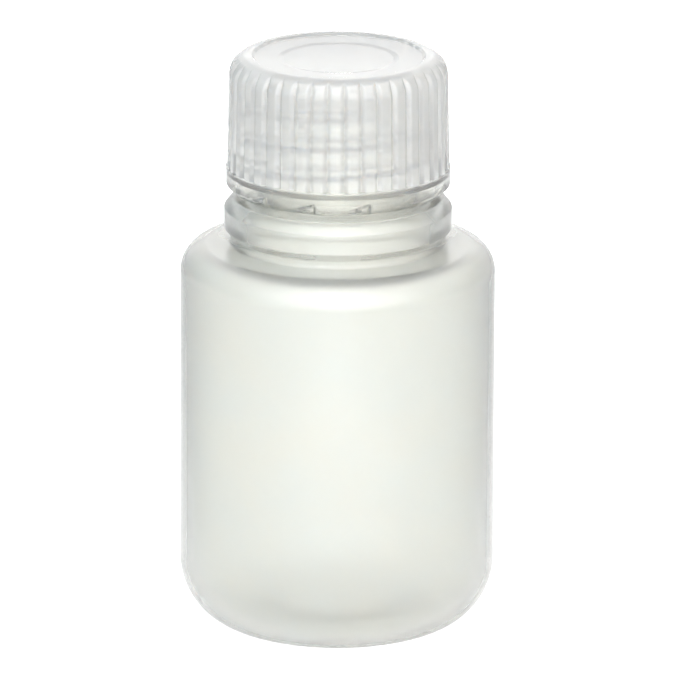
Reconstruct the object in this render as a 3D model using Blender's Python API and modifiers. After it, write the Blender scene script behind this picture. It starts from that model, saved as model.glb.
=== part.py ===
"""Narrow-mouth reagent bottle in natural polypropylene, with its ribbed screw cap and sealing liner.

Three pieces on one axis: the blow-moulded bottle with its neck thread, the screw cap with the mating
thread, and the liner that the cap presses on the lip. Metres, +Z up, origin at the centre of the base.
"""

import math

import bmesh
import bpy

MM = 0.001

# Bottle body
BODY_RADIUS = 17.0 * MM
BODY_WALL = 1.0 * MM
BASE_CORNER_R = 7.0 * MM  # base corner, measured outwards
BASE_CORNER_Z = 7.4 * MM  # base corner, measured upwards
CONTACT_RING_WIDTH = 1.6 * MM
PUSH_UP_HEIGHT = 1.3 * MM
SHOULDER_Z = 39.3 * MM  # top of the straight side
SHOULDER_CORNER_R = 3.0 * MM
SHOULDER_CORNER_Z = 3.1 * MM
SHOULDER_RISE = 0.3 * MM  # from the corner's top to the neck

# Neck
NECK_BASE_RADIUS = 11.5 * MM
FLANGE_RADIUS = 12.3 * MM
FLANGE_UNDER_Z = 43.5 * MM
FLANGE_LOW_Z = 44.35 * MM
FLANGE_HIGH_Z = 46.5 * MM
FLANGE_TOP_Z = 47.7 * MM
FLANGE_TOP_RADIUS = 11.3 * MM
FINISH_RADIUS = 8.8 * MM  # root of the neck thread
BORE_RADIUS = 7.0 * MM
BELL_RADIUS = 9.9 * MM  # inside of the neck below the bore
LIP_Z = 61.1 * MM
LIP_ROUND = 0.4 * MM

# Screw thread, eight turns to the inch, right-handed
PITCH = 25.4 / 8 * MM
THREAD_HEIGHT = 1.0 * MM
THREAD_EMBED = 0.3 * MM  # how far a ridge's foot is sunk in its wall
THREAD_FADE_TURNS = 0.12
NECK_THREAD_HALF_FOOT = 0.80 * MM
NECK_THREAD_HALF_CREST = 0.35 * MM
NECK_THREAD_START_Z = 52.6 * MM
NECK_THREAD_TURNS = 2.25
NECK_THREAD_FRONT_Z = 54.1 * MM  # the ridge's middle where it crosses the front, at -Y
CAP_THREAD_HALF_FOOT = 0.70 * MM
CAP_THREAD_HALF_CREST = 0.30 * MM
CAP_THREAD_BELOW_NECK = 1.3 * MM
CAP_THREAD_START_Z = 51.9 * MM
CAP_THREAD_TURNS = 2.4

# Screw cap, heights from its rim
CAP_RIM_Z = 48.6 * MM  # rim's height over the base when screwed down
CAP_HEIGHT = 14.7 * MM
CAP_TOP_THICKNESS = 1.1 * MM
CAP_BORE_RADIUS = 10.15 * MM
BAND_RADIUS = 12.1 * MM
BAND_HEIGHT = 2.5 * MM
BAND_CHAMFER = 0.6 * MM
BAND_BORE_RADIUS = 10.6 * MM
BAND_BORE_DEPTH = 1.5 * MM
GRIP_LOW_RADIUS = 11.98 * MM
GRIP_HIGH_RADIUS = 11.78 * MM
TOP_CORNER = 2.07 * MM
RECESS_RADIUS = 9.36 * MM
RECESS_DEPTH = 0.3 * MM
GROOVES = 40
GROOVE_DEPTH = 0.42 * MM
GROOVE_CENTRE_RADIUS = 11.95 * MM
GROOVE_FIRST = math.radians(-90 + 3.2)  # middle of a groove, counter-clockwise from +X
RATCHET_NOTCHES = 12
NOTCH_SPAN = math.radians(15)
NOTCH_FIRST_END = math.radians(-90 + 16.9)  # its upright face, counter-clockwise from +X
NOTCH_HEIGHT = 1.0 * MM
NOTCH_DEPTH = 0.55 * MM

# Sealing liner
GAP = 0.3 * MM  # clearance kept between touching pieces
LINER_RADIUS = 9.7 * MM
LINER_THICKNESS = 0.5 * MM
PLUG_RADIUS = BORE_RADIUS - GAP
PLUG_WALL = 0.9 * MM
PLUG_LENGTH = 3.0 * MM
PLUG_TAPER = 0.25 * MM

BOTTLE_STEPS = 48
CAP_STEPS = 80
ARC_STEPS = 5
PLASTIC_ROUGHNESS = 0.35


def clear_scene():
    for old in list(bpy.data.objects):
        bpy.data.objects.remove(old, do_unlink=True)


def new_collection(name):
    collection = bpy.data.collections.new(name)
    bpy.context.scene.collection.children.link(collection)
    return collection


def plastic(name, colour):
    material = bpy.data.materials.new(name)
    material.use_nodes = True
    shader = material.node_tree.nodes["Principled BSDF"]
    shader.inputs["Base Color"].default_value = (*colour, 1.0)
    shader.inputs["Roughness"].default_value = PLASTIC_ROUGHNESS
    shader.inputs["Metallic"].default_value = 0.0
    return material


def corner(centre_r, centre_z, radius_r, radius_z, start, end, steps=ARC_STEPS):
    """Points (r, z) on an elliptical arc from start to end, in degrees from the outward direction."""
    points = []
    for i in range(steps + 1):
        angle = math.radians(start + (end - start) * i / steps)
        points.append((centre_r + radius_r * math.cos(angle), centre_z + radius_z * math.sin(angle)))
    return points


def bottle_inside():
    """The inner outline, from the floor's centre up to the lip."""
    base_centre = BODY_RADIUS - BASE_CORNER_R
    shoulder_centre = BODY_RADIUS - SHOULDER_CORNER_R
    inner_corner = SHOULDER_CORNER_R - BODY_WALL
    floor = [(0.0, PUSH_UP_HEIGHT + BODY_WALL), (0.6 * base_centre, 0.9 * PUSH_UP_HEIGHT + BODY_WALL)]
    base = corner(base_centre, BASE_CORNER_Z, BASE_CORNER_R - BODY_WALL, BASE_CORNER_Z - BODY_WALL, -90, 0)
    shoulder = corner(shoulder_centre, SHOULDER_Z, inner_corner, inner_corner, 0, 90, 4)
    bell_z = SHOULDER_Z + inner_corner + SHOULDER_RISE
    neck = [(BELL_RADIUS + BODY_WALL, bell_z), (BELL_RADIUS, bell_z + BODY_WALL), (BELL_RADIUS, FLANGE_LOW_Z)]
    throat = corner(
        BORE_RADIUS, FLANGE_LOW_Z, BELL_RADIUS - BORE_RADIUS, FLANGE_TOP_Z - FLANGE_LOW_Z, 35, 70, 2
    )
    mouth = [(BORE_RADIUS, FLANGE_TOP_Z + LIP_ROUND), (BORE_RADIUS, LIP_Z - LIP_ROUND)]
    return floor + base + shoulder + neck + throat + mouth


def bottle_outside():
    """The outer outline, from the lip down to the base's centre."""
    base_centre = BODY_RADIUS - BASE_CORNER_R
    shoulder_centre = BODY_RADIUS - SHOULDER_CORNER_R
    shoulder_top = SHOULDER_Z + SHOULDER_CORNER_Z
    ring_inner = base_centre - CONTACT_RING_WIDTH
    lip = [
        (BORE_RADIUS + LIP_ROUND, LIP_Z),
        (FINISH_RADIUS - LIP_ROUND, LIP_Z),
        (FINISH_RADIUS, LIP_Z - LIP_ROUND),
    ]
    flange = [
        (FINISH_RADIUS, FLANGE_TOP_Z + 2 * LIP_ROUND),
        (FINISH_RADIUS + LIP_ROUND, FLANGE_TOP_Z + 0.5 * LIP_ROUND),
        (FLANGE_TOP_RADIUS, FLANGE_TOP_Z),
        (FLANGE_RADIUS, FLANGE_HIGH_Z),
        (FLANGE_RADIUS, FLANGE_LOW_Z),
        (NECK_BASE_RADIUS + LIP_ROUND, FLANGE_UNDER_Z),
        (NECK_BASE_RADIUS, shoulder_top + SHOULDER_RISE + LIP_ROUND),
        (NECK_BASE_RADIUS + LIP_ROUND, shoulder_top + SHOULDER_RISE),
    ]
    shoulder = corner(shoulder_centre, SHOULDER_Z, SHOULDER_CORNER_R, SHOULDER_CORNER_Z, 90, 0)
    base = corner(base_centre, BASE_CORNER_Z, BASE_CORNER_R, BASE_CORNER_Z, 0, -90, ARC_STEPS + 2)
    push_up = [
        (ring_inner, 0.0),
        (0.85 * ring_inner, 0.6 * PUSH_UP_HEIGHT),
        (0.6 * ring_inner, 0.9 * PUSH_UP_HEIGHT),
        (0.0, PUSH_UP_HEIGHT),
    ]
    return lip + flange + shoulder + base + push_up


def cap_outline():
    """The cap's outline from the top's centre, down the outside, round the rim and up the inside."""
    top = CAP_HEIGHT
    ceiling = CAP_HEIGHT - CAP_TOP_THICKNESS
    corner_centre = GRIP_HIGH_RADIUS - TOP_CORNER
    outside = [(0.0, top - RECESS_DEPTH), (RECESS_RADIUS - RECESS_DEPTH, top - RECESS_DEPTH)]
    outside += [(RECESS_RADIUS, top)]
    outside += corner(corner_centre, top - TOP_CORNER, TOP_CORNER, TOP_CORNER, 90, 0)
    outside += [
        (GRIP_LOW_RADIUS, BAND_HEIGHT),
        (BAND_RADIUS, BAND_HEIGHT - 0.5 * (BAND_RADIUS - GRIP_LOW_RADIUS)),
        (BAND_RADIUS, BAND_CHAMFER),
        (BAND_RADIUS - BAND_CHAMFER, 0.0),
    ]
    inside = [
        (BAND_BORE_RADIUS, 0.0),
        (BAND_BORE_RADIUS, BAND_BORE_DEPTH),
        (CAP_BORE_RADIUS, BAND_BORE_DEPTH + BAND_BORE_RADIUS - CAP_BORE_RADIUS),
        (CAP_BORE_RADIUS, ceiling - GAP),
        (CAP_BORE_RADIUS - GAP, ceiling),
        (0.0, ceiling),
    ]
    return outside + inside


def liner_outline():
    """The liner's outline: a thin disc with a tapered plug ring under it. Heights from the disc's underside."""
    root_outer = PLUG_RADIUS
    tip_outer = PLUG_RADIUS - PLUG_TAPER
    return [
        (0.0, LINER_THICKNESS),
        (LINER_RADIUS, LINER_THICKNESS),
        (LINER_RADIUS, 0.0),
        (root_outer, 0.0),
        (root_outer, -0.6 * PLUG_LENGTH),
        (tip_outer, -PLUG_LENGTH),
        (tip_outer - 0.5 * PLUG_WALL, -PLUG_LENGTH),
        (root_outer - PLUG_WALL, 0.0),
        (0.0, 0.0),
    ]


def turned(name, outline, steps, collection, material):
    """Turns an outline of (r, z) points about the Z axis."""
    mesh = bpy.data.meshes.new(name)
    edges = [(i, i + 1) for i in range(len(outline) - 1)]
    mesh.from_pydata([(r, 0.0, z) for r, z in outline], edges, [])
    mesh.materials.append(material)
    piece = bpy.data.objects.new(name, mesh)
    collection.objects.link(piece)
    screw = piece.modifiers.new("turn", "SCREW")
    screw.axis = "Z"
    screw.steps = steps
    screw.render_steps = steps
    screw.use_merge_vertices = True
    screw.merge_threshold = 0.00001
    return piece


def cutter(name, mesh_builder, collection):
    """An object that only shapes others: mesh_builder is a bmesh."""
    mesh = bpy.data.meshes.new(name)
    bmesh.ops.recalc_face_normals(mesh_builder, faces=mesh_builder.faces)
    mesh_builder.to_mesh(mesh)
    mesh_builder.free()
    tool = bpy.data.objects.new(name, mesh)
    collection.objects.link(tool)
    tool.hide_render = True
    tool.display_type = "WIRE"
    return tool


def boolean(piece, tool, operation):
    modifier = piece.modifiers.new(tool.name, "BOOLEAN")
    modifier.operation = operation
    modifier.solver = "EXACT"
    modifier.object = tool


def closed_loft(builder, sections):
    """Skins a run of sections, each a ring of points, and closes both ends."""
    rings = [[builder.verts.new(point) for point in section] for section in sections]
    count = len(rings[0])
    for ring, following in zip(rings, rings[1:]):
        for i in range(count):
            j = (i + 1) % count
            builder.faces.new((ring[i], ring[j], following[j], following[i]))
    builder.faces.new(reversed(rings[0]))
    builder.faces.new(rings[-1])


def helical_ridge(wall, crest, half_foot, half_crest, start_z, front_z, turns, steps):
    """A thread ridge standing on a cylindrical wall, inwards or outwards, that fades into it at both ends."""
    builder = bmesh.new()
    side = 1 if crest > wall else -1
    foot = wall - side * THREAD_EMBED
    sunk = wall - side * 0.5 * THREAD_EMBED
    front = math.radians(-90)
    first_step = round((start_z - front_z) / PITCH * steps)
    sections = []
    for i in range(round(turns * steps) + 1):
        angle = front + 2 * math.pi * (first_step + i) / steps
        z = front_z + PITCH * (first_step + i) / steps
        from_end = min(i, round(turns * steps) - i) / steps
        height = min(from_end / THREAD_FADE_TURNS, 1.0)
        top = sunk + (crest - sunk) * height
        ring = [(foot, z - half_foot), (top, z - half_crest), (top, z + half_crest), (foot, z + half_foot)]
        sections.append([(r * math.cos(angle), r * math.sin(angle), h) for r, h in ring])
    closed_loft(builder, sections)
    return builder


def ratchet_wedges():
    """The wedges that cut the ratchet notches: each rises counter-clockwise to an upright face."""
    builder = bmesh.new()
    low = -0.5 * NOTCH_HEIGHT
    inner = BAND_BORE_RADIUS - NOTCH_DEPTH
    outer = BAND_BORE_RADIUS + NOTCH_DEPTH
    for i in range(RATCHET_NOTCHES):
        end = NOTCH_FIRST_END + 2 * math.pi * i / RATCHET_NOTCHES
        start = end - NOTCH_SPAN
        corners = [(start, low), (end, low), (end, NOTCH_HEIGHT), (start, 0.1 * NOTCH_HEIGHT)]
        sections = [[(r * math.cos(a), r * math.sin(a), z) for a, z in corners] for r in (inner, outer)]
        closed_loft(builder, sections)
    return builder


def grip_prisms():
    """Four-sided upright prisms, corner inwards, that cut the V grooves between the cap's ribs."""
    builder = bmesh.new()
    low, high = BAND_HEIGHT + 0.1 * MM, CAP_HEIGHT
    for i in range(GROOVES):
        angle = GROOVE_FIRST + 2 * math.pi * i / GROOVES
        middle = (GROOVE_CENTRE_RADIUS * math.cos(angle), GROOVE_CENTRE_RADIUS * math.sin(angle))
        sections = []
        for z in (low, high):
            ring = []
            for k in range(4):
                turn = angle + math.pi * k / 2
                x = middle[0] + GROOVE_DEPTH * math.cos(turn)
                y = middle[1] + GROOVE_DEPTH * math.sin(turn)
                ring.append((x, y, z))
            sections.append(ring)
        closed_loft(builder, sections)
    return builder


def make_bottle(parts, cutters):
    outline = bottle_inside() + bottle_outside()
    bottle = turned("bottle", outline, BOTTLE_STEPS, parts, plastic("bottle_plastic", (0.86, 0.87, 0.85)))
    ridge = helical_ridge(
        FINISH_RADIUS,
        FINISH_RADIUS + THREAD_HEIGHT,
        NECK_THREAD_HALF_FOOT,
        NECK_THREAD_HALF_CREST,
        NECK_THREAD_START_Z,
        NECK_THREAD_FRONT_Z,
        NECK_THREAD_TURNS,
        BOTTLE_STEPS,
    )
    boolean(bottle, cutter("neck_thread", ridge, cutters), "UNION")
    return bottle


def make_cap(parts, cutters, axis):
    cap = turned("screw_cap", cap_outline(), CAP_STEPS, parts, plastic("cap_plastic", (0.84, 0.86, 0.85)))
    ridge = helical_ridge(
        CAP_BORE_RADIUS,
        CAP_BORE_RADIUS - THREAD_HEIGHT,
        CAP_THREAD_HALF_FOOT,
        CAP_THREAD_HALF_CREST,
        CAP_THREAD_START_Z - CAP_RIM_Z,
        NECK_THREAD_FRONT_Z - CAP_THREAD_BELOW_NECK - CAP_RIM_Z,
        CAP_THREAD_TURNS,
        CAP_STEPS,
    )
    tools = [
        (cutter("cap_thread", ridge, cutters), "UNION"),
        (cutter("grip_grooves", grip_prisms(), cutters), "DIFFERENCE"),
        (cutter("ratchet_notches", ratchet_wedges(), cutters), "DIFFERENCE"),
    ]
    for tool, operation in tools:
        tool.parent = axis
        boolean(cap, tool, operation)
    cap.parent = axis
    return cap


def make_liner(parts, axis):
    liner = turned("seal_liner", liner_outline(), BOTTLE_STEPS, parts, plastic("liner_plastic", (0.9, 0.9, 0.9)))
    liner.parent = axis
    liner.location.z = LIP_Z + GAP - CAP_RIM_Z
    return liner


def smooth_rounds(piece, angle=math.radians(30)):
    """Shades the round faces smooth and keeps the edges sharper than the angle."""
    for polygon in piece.data.polygons:
        polygon.use_smooth = True
    piece.data.set_sharp_from_angle(angle=angle)


def main():
    clear_scene()
    parts = new_collection("reagent_bottle")
    cutters = new_collection("cutters")
    axis = bpy.data.objects.new("closure_axis", None)
    axis.location.z = CAP_RIM_Z
    parts.objects.link(axis)
    pieces = [make_bottle(parts, cutters), make_cap(parts, cutters, axis), make_liner(parts, axis)]
    for piece in pieces:
        smooth_rounds(piece)


main()
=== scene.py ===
"""Looks of the reagent bottle: fine meshes of the bottle, its cap and its liner, in translucent plastic."""

import math

import bpy
import numpy as np
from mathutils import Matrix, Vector


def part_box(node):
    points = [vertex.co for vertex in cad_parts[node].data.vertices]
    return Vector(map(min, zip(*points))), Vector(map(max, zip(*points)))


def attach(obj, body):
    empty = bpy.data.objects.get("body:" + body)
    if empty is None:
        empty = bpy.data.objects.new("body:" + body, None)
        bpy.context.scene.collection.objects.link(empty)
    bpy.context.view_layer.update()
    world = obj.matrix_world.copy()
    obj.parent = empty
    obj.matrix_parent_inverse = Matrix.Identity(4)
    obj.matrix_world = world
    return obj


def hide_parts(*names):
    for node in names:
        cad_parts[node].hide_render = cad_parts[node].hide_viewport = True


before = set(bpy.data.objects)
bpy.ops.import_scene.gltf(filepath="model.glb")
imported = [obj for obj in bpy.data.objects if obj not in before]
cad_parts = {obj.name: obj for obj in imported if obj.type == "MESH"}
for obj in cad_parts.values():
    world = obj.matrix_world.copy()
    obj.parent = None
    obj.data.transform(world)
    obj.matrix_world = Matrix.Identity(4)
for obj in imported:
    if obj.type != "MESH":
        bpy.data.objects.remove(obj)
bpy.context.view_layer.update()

MM = 0.001

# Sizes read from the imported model
BOTTLE_LOW, BOTTLE_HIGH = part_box("bottle")
CAP_LOW, CAP_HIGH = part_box("screw_cap")
LINER_LOW, LINER_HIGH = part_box("seal_liner")
BODY_RADIUS = BOTTLE_HIGH.x
LIP_Z = BOTTLE_HIGH.z
CAP_RIM_Z = CAP_LOW.z
CAP_TOP_Z = CAP_HIGH.z
BAND_RADIUS = CAP_HIGH.x
LINER_RADIUS = LINER_HIGH.x
FULL_HEIGHT = CAP_TOP_Z

# Bottle body and neck
BODY_WALL = 1.0 * MM
BASE_CORNER_R, BASE_CORNER_Z = 7.0 * MM, 7.4 * MM
CONTACT_RING_WIDTH = 1.6 * MM
PUSH_UP_HEIGHT = 1.3 * MM
SHOULDER_Z = 39.3 * MM
SHOULDER_CORNER_R, SHOULDER_CORNER_Z = 3.0 * MM, 3.1 * MM
SHOULDER_TOP_Z = SHOULDER_Z + SHOULDER_CORNER_Z + 0.3 * MM
NECK_BASE_RADIUS = 11.5 * MM
FLANGE_RADIUS = 12.3 * MM
FLANGE_TOP_RADIUS = 11.3 * MM
FLANGE_UNDER_Z, FLANGE_LOW_Z = 43.5 * MM, 44.35 * MM
FLANGE_HIGH_Z, FLANGE_TOP_Z = 46.5 * MM, 47.7 * MM
FINISH_RADIUS = 8.8 * MM
BORE_RADIUS = 7.0 * MM
BELL_RADIUS = 9.9 * MM

# Thread, right-handed, with the same pitch on the neck and in the cap
PITCH = 25.4 / 8 * MM
THREAD_HEIGHT = 1.0 * MM
THREAD_FADE = 0.12 * PITCH
NECK_THREAD_FRONT_Z = 54.1 * MM
NECK_THREAD = {"low": 52.6 * MM, "turns": 2.25, "foot": 0.80 * MM, "crest": 0.35 * MM}
CAP_THREAD_BELOW_NECK = 1.3 * MM
CAP_THREAD = {"low": 51.9 * MM, "turns": 2.4, "foot": 0.70 * MM, "crest": 0.30 * MM}
THREAD_ROW = 0.16 * MM  # mesh rows over the threads

# Cap
CAP_CEILING_Z = CAP_TOP_Z - 1.1 * MM
CAP_BORE_RADIUS = 10.15 * MM
BAND_TOP_Z = CAP_RIM_Z + 2.5 * MM
BAND_CHAMFER = 0.6 * MM
BAND_BORE_RADIUS = 10.6 * MM
BAND_BORE_TOP_Z = CAP_RIM_Z + 1.5 * MM
GRIP_LOW_RADIUS, GRIP_HIGH_RADIUS = 11.98 * MM, 11.78 * MM
TOP_CORNER = 2.07 * MM
RECESS_RADIUS, RECESS_DEPTH = 9.36 * MM, 0.3 * MM
DISC_RADIUS, DISC_STEP, DISC_SLOPE = 6.5 * MM, 0.1 * MM, 0.6 * MM
GROOVES = 40
GROOVE_TOP_RADIUS, GROOVE_DEPTH = 11.9 * MM, 0.37 * MM
GROOVE_INNER_RADIUS = 10.5 * MM  # grooves stay outside this
GROOVE_FIRST = math.radians(-90 + 3.2)
GROOVE_SLOPE = 1.0  # of its flanks, rise over run
GROOVE_ROUNDING = 0.06 * MM
GROOVE_FADE_START, GROOVE_FADE = 0.55, 0.4  # where grooves run out, as shares of the top's rounding
NOTCHES = 12
NOTCH_SPAN = math.radians(15)
NOTCH_END = math.radians(-90 + 16.9)
NOTCH_HEIGHT, NOTCH_DEPTH = 1.0 * MM, 0.55 * MM
NOTCH_EDGE = 0.12 * MM

# Liner
PLUG_RADIUS = 6.7 * MM
PLUG_WALL = 0.9 * MM
PLUG_TAPER = 0.25 * MM
LINER_THICKNESS = 0.5 * MM

BOTTLE_COLUMNS = 192
LINER_COLUMNS = 128
# Where the columns of one rib stand, as shares of a rib's width from its groove's middle
RIB_COLUMNS = (0.0, 0.06, 0.12, 0.18, 0.24, 0.32, 0.5, 0.68, 0.76, 0.82, 0.88, 0.94)


def arc(centre_r, centre_z, radius_r, radius_z, start, end, steps):
    """Points (r, z) on an elliptical arc, in degrees from the outward direction."""
    turn = np.radians(np.linspace(start, end, steps + 1))
    return [(centre_r + radius_r * math.cos(t), centre_z + radius_z * math.sin(t)) for t in turn]


def rounded(corners, steps=5):
    """An open outline through corners (r, z, radius), with each inner corner rounded to its radius."""
    points = [corners[0][:2]]
    for before, here, after in zip(corners, corners[1:], corners[2:]):
        a, b, c = (np.array(p[:2]) for p in (before, here, after))
        to_a, to_c = a - b, c - b
        length_a, length_c = np.linalg.norm(to_a), np.linalg.norm(to_c)
        to_a, to_c = to_a / length_a, to_c / length_c
        half = math.acos(max(-1.0, min(1.0, float(to_a @ to_c)))) / 2
        reach = min(here[2] / math.tan(half), 0.49 * length_a, 0.49 * length_c)
        if reach < 1e-7:
            points.append(tuple(b))
            continue
        first, last = b + to_a * reach, b + to_c * reach
        for i in range(steps + 1):
            t = i / steps
            bend = (1 - t) ** 2 * first + 2 * t * (1 - t) * b + t**2 * last
            points.append(tuple(bend))
    points.append(corners[-1][:2])
    return points


def finer(points, spacing, low, high, least_r=0.0):
    """Splits the runs between two heights, and outside a radius, until none is longer than spacing."""
    out = [points[0]]
    for (r0, z0), (r1, z1) in zip(points, points[1:]):
        inside = low <= min(z0, z1) and max(z0, z1) <= high and min(r0, r1) > least_r
        count = max(math.ceil(math.hypot(r1 - r0, z1 - z0) / spacing), 1) if inside else 1
        for i in range(1, count + 1):
            t = i / count
            out.append((r0 + (r1 - r0) * t, z0 + (z1 - z0) * t))
    return out


def revolve(name, outline, angles, relief=None):
    """A closed mesh: an outline from axis to axis, turned through the angles, its radii changed by relief."""
    outline = np.array(outline)
    inner = outline[1:-1]
    radius = np.repeat(inner[:, :1], len(angles), axis=1)
    height = np.repeat(inner[:, 1:], len(angles), axis=1)
    turn = np.repeat(np.array(angles)[None, :], len(inner), axis=0)
    if relief is not None:
        radius = relief(turn, radius, height)
    points = np.stack([radius * np.cos(turn), radius * np.sin(turn), height], axis=2).reshape(-1, 3)
    start, end = (0.0, 0.0, outline[0, 1]), (0.0, 0.0, outline[-1, 1])
    points = [start, *map(tuple, points), end]
    count = len(angles)
    faces = []
    for i in range(count):
        j = (i + 1) % count
        faces.append((0, 1 + i, 1 + j))
        last = 1 + (len(inner) - 1) * count
        faces.append((last + j, last + i, len(points) - 1))
        for row in range(len(inner) - 1):
            a = 1 + row * count
            faces.append((a + i, a + count + i, a + count + j, a + j))
    mesh = bpy.data.meshes.new(name)
    mesh.from_pydata(points, [], faces)
    mesh.shade_smooth()
    piece = bpy.data.objects.new(name, mesh)
    bpy.context.scene.collection.objects.link(piece)
    return piece


def smooth(x):
    """A smooth step from 0 to 1."""
    x = np.clip(x, 0.0, 1.0)
    return x * x * (3 - 2 * x)


def ridge(turn, height, front_z, thread):
    """How high the thread's ridge stands, from 0 to 1, at each angle and height."""
    from_front = np.mod(turn + math.pi / 2 + math.pi, 2 * math.pi) - math.pi
    middle = front_z + PITCH * from_front / (2 * math.pi)
    off = np.mod(height - middle + PITCH / 2, PITCH) - PITCH / 2
    flank = thread["foot"] - thread["crest"]
    shape = smooth((thread["foot"] - np.abs(off)) / flank)
    along = height - off
    top = thread["low"] + thread["turns"] * PITCH
    fade = smooth(np.minimum(along - thread["low"], top - along) / THREAD_FADE)
    return shape * fade


def bottle_outline():
    base_centre = BODY_RADIUS - BASE_CORNER_R
    shoulder_centre = BODY_RADIUS - SHOULDER_CORNER_R
    inner_corner = SHOULDER_CORNER_R - BODY_WALL
    ring_inner = base_centre - CONTACT_RING_WIDTH
    floor_z = PUSH_UP_HEIGHT + BODY_WALL
    bell_z = SHOULDER_Z + inner_corner + 0.3 * MM
    floor = rounded([
        (0.0, floor_z, 0),
        (0.62 * base_centre, floor_z - 0.1 * PUSH_UP_HEIGHT, 2.0 * MM),
        (0.84 * base_centre, 1.15 * BODY_WALL, 1.2 * MM),
        (base_centre, BODY_WALL, 0),
    ])
    base = arc(base_centre, BASE_CORNER_Z, BASE_CORNER_R - BODY_WALL, BASE_CORNER_Z - BODY_WALL, -90, 0, 24)
    shoulder = arc(shoulder_centre, SHOULDER_Z, inner_corner, inner_corner, 0, 90, 12)
    neck = rounded([
        (shoulder_centre - 0.3 * MM, SHOULDER_Z + inner_corner, 0),
        (BELL_RADIUS, bell_z + 0.2 * MM, 1.2 * MM),
        (BELL_RADIUS, FLANGE_HIGH_Z - 0.6 * MM, 2.0 * MM),
        (BORE_RADIUS, FLANGE_TOP_Z + 0.6 * MM, 1.5 * MM),
        (BORE_RADIUS, LIP_Z, 0.45 * MM),
        (FINISH_RADIUS, LIP_Z, 0.35 * MM),
        (FINISH_RADIUS, FLANGE_TOP_Z + 0.15 * MM, 0.5 * MM),
        (FLANGE_TOP_RADIUS, FLANGE_TOP_Z, 0.5 * MM),
        (FLANGE_RADIUS, FLANGE_HIGH_Z, 0.3 * MM),
        (FLANGE_RADIUS, FLANGE_LOW_Z, 0.25 * MM),
        (NECK_BASE_RADIUS + 0.1 * MM, FLANGE_UNDER_Z, 0.35 * MM),
        (NECK_BASE_RADIUS, SHOULDER_TOP_Z, 0.45 * MM),
        (shoulder_centre, SHOULDER_Z + SHOULDER_CORNER_Z, 0),
    ])
    neck = finer(neck, THREAD_ROW, FLANGE_TOP_Z + 0.2 * MM, LIP_Z, BORE_RADIUS + 1 * MM)
    outside = arc(shoulder_centre, SHOULDER_Z, SHOULDER_CORNER_R, SHOULDER_CORNER_Z, 88, 0, 20)
    under = arc(base_centre, BASE_CORNER_Z, BASE_CORNER_R, BASE_CORNER_Z, 0, -90, 32)
    push_up = rounded([
        (ring_inner, 0.0, 0),
        (0.86 * ring_inner, 0.75 * PUSH_UP_HEIGHT, 1.0 * MM),
        (0.6 * ring_inner, 0.95 * PUSH_UP_HEIGHT, 1.0 * MM),
        (0.0, PUSH_UP_HEIGHT, 0),
    ])
    return floor + base[1:] + shoulder + neck + outside + under[1:] + push_up


def neck_relief(turn, radius, height):
    """Raises the thread on the outside of the neck."""
    outside = (radius > FINISH_RADIUS - 0.01 * MM) & (height > FLANGE_TOP_Z + 1 * MM)
    return radius + outside * THREAD_HEIGHT * ridge(turn, height, NECK_THREAD_FRONT_Z, NECK_THREAD)


def cap_outline():
    corner_centre = GRIP_HIGH_RADIUS - TOP_CORNER
    disc_z = CAP_TOP_Z - RECESS_DEPTH - DISC_STEP
    top = rounded([
        (0.0, disc_z, 0),
        (DISC_RADIUS - DISC_SLOPE, disc_z, 0.3 * MM),
        (DISC_RADIUS, disc_z + DISC_STEP, 0.3 * MM),
        (RECESS_RADIUS - RECESS_DEPTH, CAP_TOP_Z - RECESS_DEPTH, 0.25 * MM),
        (RECESS_RADIUS, CAP_TOP_Z, 0.15 * MM),
        (corner_centre, CAP_TOP_Z, 0),
    ])
    corner = arc(corner_centre, CAP_TOP_Z - TOP_CORNER, TOP_CORNER, TOP_CORNER, 88, 0, 22)
    outside = rounded([
        (GRIP_HIGH_RADIUS, CAP_TOP_Z - TOP_CORNER - 0.1 * MM, 0),
        (GRIP_LOW_RADIUS, BAND_TOP_Z + 0.02 * MM, 0.03 * MM),
        (BAND_RADIUS, BAND_TOP_Z - 0.1 * MM, 0.12 * MM),
        (BAND_RADIUS, CAP_RIM_Z + BAND_CHAMFER, 0.25 * MM),
        (BAND_RADIUS - BAND_CHAMFER, CAP_RIM_Z, 0.15 * MM),
        (BAND_BORE_RADIUS, CAP_RIM_Z, 0.1 * MM),
        (BAND_BORE_RADIUS, BAND_BORE_TOP_Z, 0.1 * MM),
        (CAP_BORE_RADIUS, BAND_BORE_TOP_Z + 0.45 * MM, 0.15 * MM),
        (CAP_BORE_RADIUS, CAP_CEILING_Z, 0.3 * MM),
        (0.0, CAP_CEILING_Z, 0),
    ])
    grip = finer(outside[:3], 1.0 * MM, CAP_RIM_Z, CAP_TOP_Z)
    inside = finer(outside[2:], THREAD_ROW, CAP_RIM_Z, CAP_CEILING_Z - 0.2 * MM)
    return top + corner + grip + inside[1:]


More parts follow.
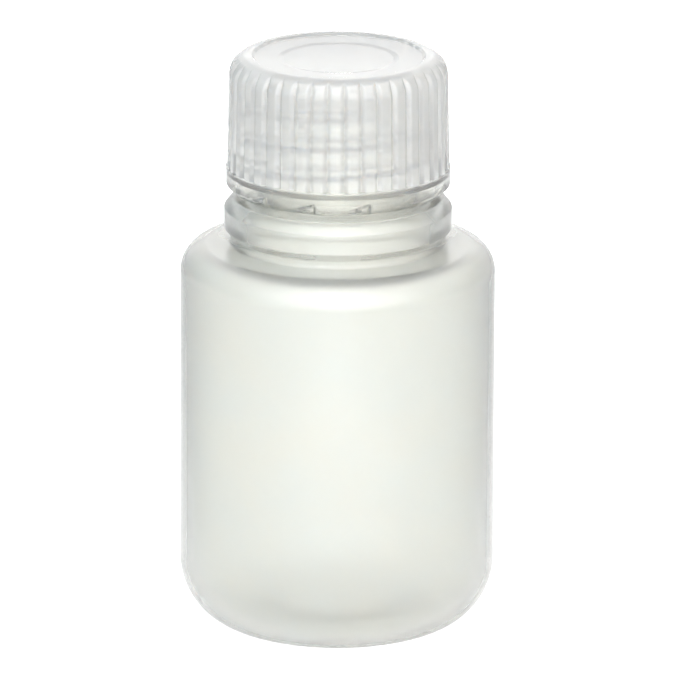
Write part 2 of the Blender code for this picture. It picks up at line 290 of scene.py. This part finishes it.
def cap_relief(turn, radius, height):
    """Cuts the grip's grooves and the rim's notches, and raises the inner thread."""
    pitch = 2 * math.pi / GROOVES
    off = np.abs(np.mod(turn - GROOVE_FIRST + pitch / 2, pitch) - pitch / 2)
    # A groove's floor follows the rounding of the top and runs out before its upper edge.
    up_corner = np.clip((height - (CAP_TOP_Z - TOP_CORNER)) / TOP_CORNER, 0.0, 1.0)
    depth = GROOVE_DEPTH * (1 - smooth((up_corner - GROOVE_FADE_START) / GROOVE_FADE))
    cut = np.minimum(GROOVE_TOP_RADIUS, radius) - depth + GROOVE_SLOPE * off * radius
    outside = (height > BAND_TOP_Z) & (radius > GROOVE_INNER_RADIUS)
    # A rounded minimum of the surface and the groove's flanks.
    gap = cut - radius
    blended = radius + 0.5 * (gap - np.sqrt(gap**2 + GROOVE_ROUNDING**2)) + 0.5 * GROOVE_ROUNDING * (gap > 0)
    grooved = np.where(outside, np.minimum(radius, blended), radius)

    inside = (radius < CAP_BORE_RADIUS + 0.02 * MM) & (height < CAP_CEILING_Z - 0.2 * MM)
    inside &= height > BAND_BORE_TOP_Z
    front_z = NECK_THREAD_FRONT_Z - CAP_THREAD_BELOW_NECK
    threaded = grooved - inside * THREAD_HEIGHT * ridge(turn, height, front_z, CAP_THREAD)

    step = 2 * math.pi / NOTCHES
    before_end = np.mod(NOTCH_END - turn, step)
    ramp = NOTCH_HEIGHT * (1 - before_end / NOTCH_SPAN)
    rim_bore = (radius < BAND_BORE_RADIUS + 0.02 * MM) & (height < BAND_BORE_TOP_Z)
    deep = smooth((CAP_RIM_Z + ramp - height) / NOTCH_EDGE + 0.5) * (before_end < NOTCH_SPAN)
    return threaded + rim_bore * NOTCH_DEPTH * deep


def liner_outline():
    plug_low = LINER_LOW.z
    under = LINER_HIGH.z - LINER_THICKNESS
    tip = PLUG_RADIUS - PLUG_TAPER
    return rounded([
        (0.0, LINER_HIGH.z, 0),
        (LINER_RADIUS, LINER_HIGH.z, 0.15 * MM),
        (LINER_RADIUS, under, 0.15 * MM),
        (PLUG_RADIUS, under, 0.2 * MM),
        (PLUG_RADIUS, plug_low + 1.2 * MM, 0.6 * MM),
        (tip, plug_low, 0.2 * MM),
        (tip - 0.5 * PLUG_WALL, plug_low, 0.2 * MM),
        (PLUG_RADIUS - PLUG_WALL, under, 0.3 * MM),
        (0.0, under, 0),
    ])


def even_angles(count):
    return [2 * math.pi * i / count for i in range(count)]


def rib_angles():
    pitch = 2 * math.pi / GROOVES
    return [GROOVE_FIRST + (i + share) * pitch for i in range(GROOVES) for share in RIB_COLUMNS]


# Materials

CLOUD_SCALE, CLOUD_DETAIL = 160.0, 3.0
STREAK_SCALE, STREAK_DETAIL, STREAK_STRETCH = 420.0, 2.0, (1, 1, 0.06)
NOISE_LOW, NOISE_HIGH = 0.3, 0.7  # the span of a noise that is used
GLOSS_CHANGE = 0.02
RIPPLE_STRENGTH, RIPPLE_DEPTH = 0.03, 0.05 * MM
PLASTIC_SETTINGS = {
    "IOR": 1.49,
    "Subsurface Weight": 1.0,
    "Subsurface Radius": (1.0, 0.95, 0.9),
    "Subsurface Scale": 1.5 * MM,
    "Coat Weight": 0.5,
    "Coat Roughness": 0.06,
}
# How much light passes unscattered, as (height, share); the rest scatters. The cap's smooth band is clearest.
BOTTLE_CLEAR = (
    (0.0, 0.84),
    (SHOULDER_Z, 0.84),
    (SHOULDER_TOP_Z - 1 * MM, 0.80),
    (SHOULDER_TOP_Z + 1 * MM, 0.88),
    (FLANGE_TOP_Z, 0.88),
)
CAP_CLEAR = ((CAP_RIM_Z, 0.93), (BAND_TOP_Z, 0.93), (BAND_TOP_Z + 0.05 * MM, 0.70), (CAP_TOP_Z, 0.70))
LINER_CLEAR = ((LINER_LOW.z, 0.70), (LINER_HIGH.z, 0.70))
BOTTLE_ROUGHNESS, CAP_ROUGHNESS, LINER_ROUGHNESS = 0.22, 0.10, 0.10
BOTTLE_TINTS = (0.86, 0.875, 0.845), (0.88, 0.875, 0.825)
CAP_TINTS = (0.985, 0.985, 0.925), (0.995, 0.985, 0.94)
LINER_TINTS = (0.99, 0.99, 0.98), (0.995, 0.995, 0.985)


class Nodes:
    """Adds nodes to a tree and links them."""

    def __init__(self, tree):
        self.tree = tree

    def add(self, kind, **values):
        """A new node; each value is for an input of that name or, where it has none, a setting."""
        node = self.tree.nodes.new(kind)
        for key, value in values.items():
            if key in node.inputs:
                node.inputs[key].default_value = value
            else:
                setattr(node, key, value)
        return node

    def link(self, source, target):
        self.tree.links.new(source, target)

    def coordinates(self, scale):
        mapping = self.add("ShaderNodeMapping", Scale=scale)
        self.link(self.add("ShaderNodeTexCoord").outputs["Object"], mapping.inputs["Vector"])
        return mapping.outputs["Vector"]

    def noise(self, scale, detail, stretch=(1, 1, 1)):
        node = self.add("ShaderNodeTexNoise", Scale=scale, Detail=detail)
        self.link(self.coordinates(stretch), node.inputs["Vector"])
        return node.outputs["Fac"]

    def split(self, vector):
        node = self.add("ShaderNodeSeparateXYZ")
        self.link(vector, node.inputs["Vector"])
        return node.outputs

    def by_height(self, stops):
        """A value that runs through (height, value) stops up the object."""
        ramp = self.add("ShaderNodeValToRGB")
        elements = ramp.color_ramp.elements
        while len(elements) < len(stops):
            elements.new(1.0)
        for element, (height, value) in zip(elements, stops):
            element.position = height / FULL_HEIGHT
            element.color = (value, value, value, 1)
        self.link(self.split(self.coordinates((1, 1, 1 / FULL_HEIGHT)))["Z"], ramp.inputs["Fac"])
        return ramp.outputs["Color"]

    def ranged(self, value, span, results, **settings):
        """Carries a value over from one span to another."""
        node = self.add("ShaderNodeMapRange", **settings)
        for name, number in zip(("From Min", "From Max", "To Min", "To Max"), (*span, *results)):
            node.inputs[name].default_value = number
        self.link(value, node.inputs["Value"])
        return node.outputs["Result"]

    def mixed(self, factor, first, second):
        """A colour between two colours."""
        node = self.add("ShaderNodeMix", data_type="RGBA")
        colours = [socket for socket in node.inputs if socket.type == "RGBA"]
        for socket, colour in zip(colours, (first, second)):
            socket.default_value = (*colour, 1)
        self.link(factor, node.inputs["Factor"])
        return [socket for socket in node.outputs if socket.type == "RGBA"][0]

    def maths(self, operation, *values):
        node = self.add("ShaderNodeMath", operation=operation)
        for value, socket in zip(values, node.inputs):
            self.link(value, socket)
        return node.outputs["Value"]

    def white_to_camera(self, light):
        """A strength of 1 where the camera sees it, and light where the plastic does."""
        node = self.add("ShaderNodeMix")
        self.link(self.add("ShaderNodeLightPath").outputs["Is Camera Ray"], node.inputs["Factor"])
        self.link(light, node.inputs["A"])
        node.inputs["B"].default_value = 1.0
        return node.outputs["Result"]


def new_material(name):
    material = bpy.data.materials.new(name)
    material.use_nodes = True
    return material, Nodes(material.node_tree), material.node_tree.nodes["Principled BSDF"]


def plastic(name, clear, rough, tints):
    """Milky see-through plastic: part glass, part scattering, with faint clouds, streaks and ripple."""
    material, n, shader = new_material(name)
    for socket, value in PLASTIC_SETTINGS.items():
        shader.inputs[socket].default_value = value
    noise_span = (NOISE_LOW, NOISE_HIGH)
    cloud = n.ranged(n.noise(CLOUD_SCALE, CLOUD_DETAIL), noise_span, (0.0, 1.0))
    n.link(n.mixed(cloud, *tints), shader.inputs["Base Color"])
    streak = n.noise(STREAK_SCALE, STREAK_DETAIL, STREAK_STRETCH)
    gloss = n.ranged(streak, noise_span, (rough - GLOSS_CHANGE, rough + GLOSS_CHANGE))
    n.link(gloss, shader.inputs["Roughness"])
    n.link(n.by_height(clear), shader.inputs["Transmission Weight"])
    ripple = n.add("ShaderNodeBump", Strength=RIPPLE_STRENGTH, Distance=RIPPLE_DEPTH)
    n.link(streak, ripple.inputs["Height"])
    n.link(ripple.outputs["Normal"], shader.inputs["Normal"])
    return material


# Pieces


def make_piece(piece, material, body, node):
    piece.data.materials.append(material)
    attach(piece, body)
    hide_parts(node)


def make_bottle():
    shell = revolve("bottle_shell", bottle_outline(), even_angles(BOTTLE_COLUMNS), neck_relief)
    material = plastic("bottle_polypropylene", BOTTLE_CLEAR, BOTTLE_ROUGHNESS, BOTTLE_TINTS)
    make_piece(shell, material, "bottle", "bottle")


def make_cap():
    shell = revolve("cap_shell", cap_outline(), rib_angles(), cap_relief)
    material = plastic("cap_polypropylene", CAP_CLEAR, CAP_ROUGHNESS, CAP_TINTS)
    make_piece(shell, material, "cap", "screw_cap")


def make_liner():
    shell = revolve("liner_shell", liner_outline(), even_angles(LINER_COLUMNS))
    material = plastic("liner_polyethylene", LINER_CLEAR, LINER_ROUGHNESS, LINER_TINTS)
    make_piece(shell, material, "liner", "seal_liner")


# Camera, floor and light

CAMERA_DISTANCE = 1.4
CAMERA_HEIGHT_ANGLE = math.radians(16.2)
CAMERA_TARGET = Vector((0.0, 0.0, 0.0317))
CAMERA_LENS = 691.4
CAMERA_ROLL = math.radians(0.25)

FLOOR_SIZE = 6.0
FLOOR_Z = -0.05 * MM
FLOOR_GREY = 0.62
# The floor lights the plastic from a strip under it that fades out to the sides.
FLOOR_GLOW, FLOOR_STRIP_INNER, FLOOR_STRIP_OUTER = 0.52, 15 * MM, 80 * MM

# The room's light falls off sideways and towards the ceiling, with a glow in front and above.
ROOM_MIDDLE, ROOM_SIDES = 1.4, 0.28
CEILING, CEILING_START = 0.75, 0.35
KEY_DIRECTION = Vector((0.0, -1.0, 0.6)).normalized()
KEY_GLOW, KEY_EDGE = 2.3, 0.4
COOL_SIDE, COOL_START = (0.75, 0.92, 1.0), -0.3  # a cool tint from the left
WHITE = (1, 1, 1)

KEY_LIGHT_PLACE = Vector((-0.1, -0.7, 0.85))
KEY_LIGHT_SIZE = (0.5, 0.3)
KEY_LIGHT_POWER = 0.8


def make_camera():
    data = bpy.data.cameras.new("camera")
    data.lens = CAMERA_LENS
    data.sensor_width = 36.0
    data.clip_end = 20.0
    camera = bpy.data.objects.new("camera", data)
    bpy.context.scene.collection.objects.link(camera)
    back = Vector((0.0, -math.cos(CAMERA_HEIGHT_ANGLE), math.sin(CAMERA_HEIGHT_ANGLE)))
    camera.location = CAMERA_TARGET + back * CAMERA_DISTANCE
    camera.rotation_euler = back.to_track_quat("Z", "Y").to_euler()
    camera.rotation_euler.rotate_axis("Z", CAMERA_ROLL)
    bpy.context.scene.camera = camera


def make_floor():
    """A pale floor: white to the camera, and a soft strip of light to the plastic."""
    half = FLOOR_SIZE / 2
    corners = [(x, y, FLOOR_Z) for x, y in ((-half, -half), (half, -half), (half, half), (-half, half))]
    mesh = bpy.data.meshes.new("floor")
    mesh.from_pydata(corners, [], [(0, 1, 2, 3)])
    floor = bpy.data.objects.new("floor", mesh)
    bpy.context.scene.collection.objects.link(floor)
    material, n, shader = new_material("floor_white")
    shader.inputs["Base Color"].default_value = (FLOOR_GREY, FLOOR_GREY, FLOOR_GREY, 1)
    shader.inputs["Roughness"].default_value = 0.9
    shader.inputs["Emission Color"].default_value = (*WHITE, 1)
    place = n.split(n.add("ShaderNodeNewGeometry").outputs["Position"])
    strip = (FLOOR_STRIP_INNER, FLOOR_STRIP_OUTER)
    away = n.maths("ABSOLUTE", place["X"])
    glow = n.ranged(away, strip, (FLOOR_GLOW, 0.0), interpolation_type="SMOOTHSTEP")
    n.link(n.white_to_camera(glow), shader.inputs["Emission Strength"])
    mesh.materials.append(material)


def make_world():
    """White to the camera. To the plastic it is a soft room: darker at the sides, brighter towards the key."""
    world = bpy.data.worlds.new("studio")
    bpy.context.scene.world = world
    world.use_nodes = True
    n = Nodes(world.node_tree)
    background = world.node_tree.nodes["Background"]
    direction = n.add("ShaderNodeTexCoord").outputs["Generated"]
    across = n.split(direction)
    room = n.ranged(n.maths("ABSOLUTE", across["X"]), (0.0, 1.0), (ROOM_MIDDLE, ROOM_SIDES))
    ceiling = n.ranged(across["Z"], (CEILING_START, 1.0), (1.0, CEILING))
    to_key = n.add("ShaderNodeVectorMath", operation="DOT_PRODUCT")
    n.link(direction, to_key.inputs[0])
    to_key.inputs[1].default_value = KEY_DIRECTION
    key = n.ranged(to_key.outputs["Value"], (KEY_EDGE, 1.0), (0.0, KEY_GLOW))
    light = n.maths("ADD", n.maths("MULTIPLY", room, ceiling), key)
    n.link(n.white_to_camera(light), background.inputs["Strength"])
    cool = n.ranged(across["X"], (-1.0, COOL_START), (0.0, 1.0))
    n.link(n.mixed(cool, COOL_SIDE, WHITE), background.inputs["Color"])


def make_key_light():
    data = bpy.data.lights.new("key_light", "AREA")
    data.shape = "RECTANGLE"
    data.size, data.size_y = KEY_LIGHT_SIZE
    data.energy = KEY_LIGHT_POWER
    light = bpy.data.objects.new("key_light", data)
    light.location = KEY_LIGHT_PLACE
    light.rotation_euler = (KEY_LIGHT_PLACE - CAMERA_TARGET).to_track_quat("Z", "Y").to_euler()
    bpy.context.scene.collection.objects.link(light)


make_bottle()
make_cap()
make_liner()
make_camera()
make_floor()
make_world()
make_key_light()
bpy.context.scene.view_settings.view_transform = "Standard"
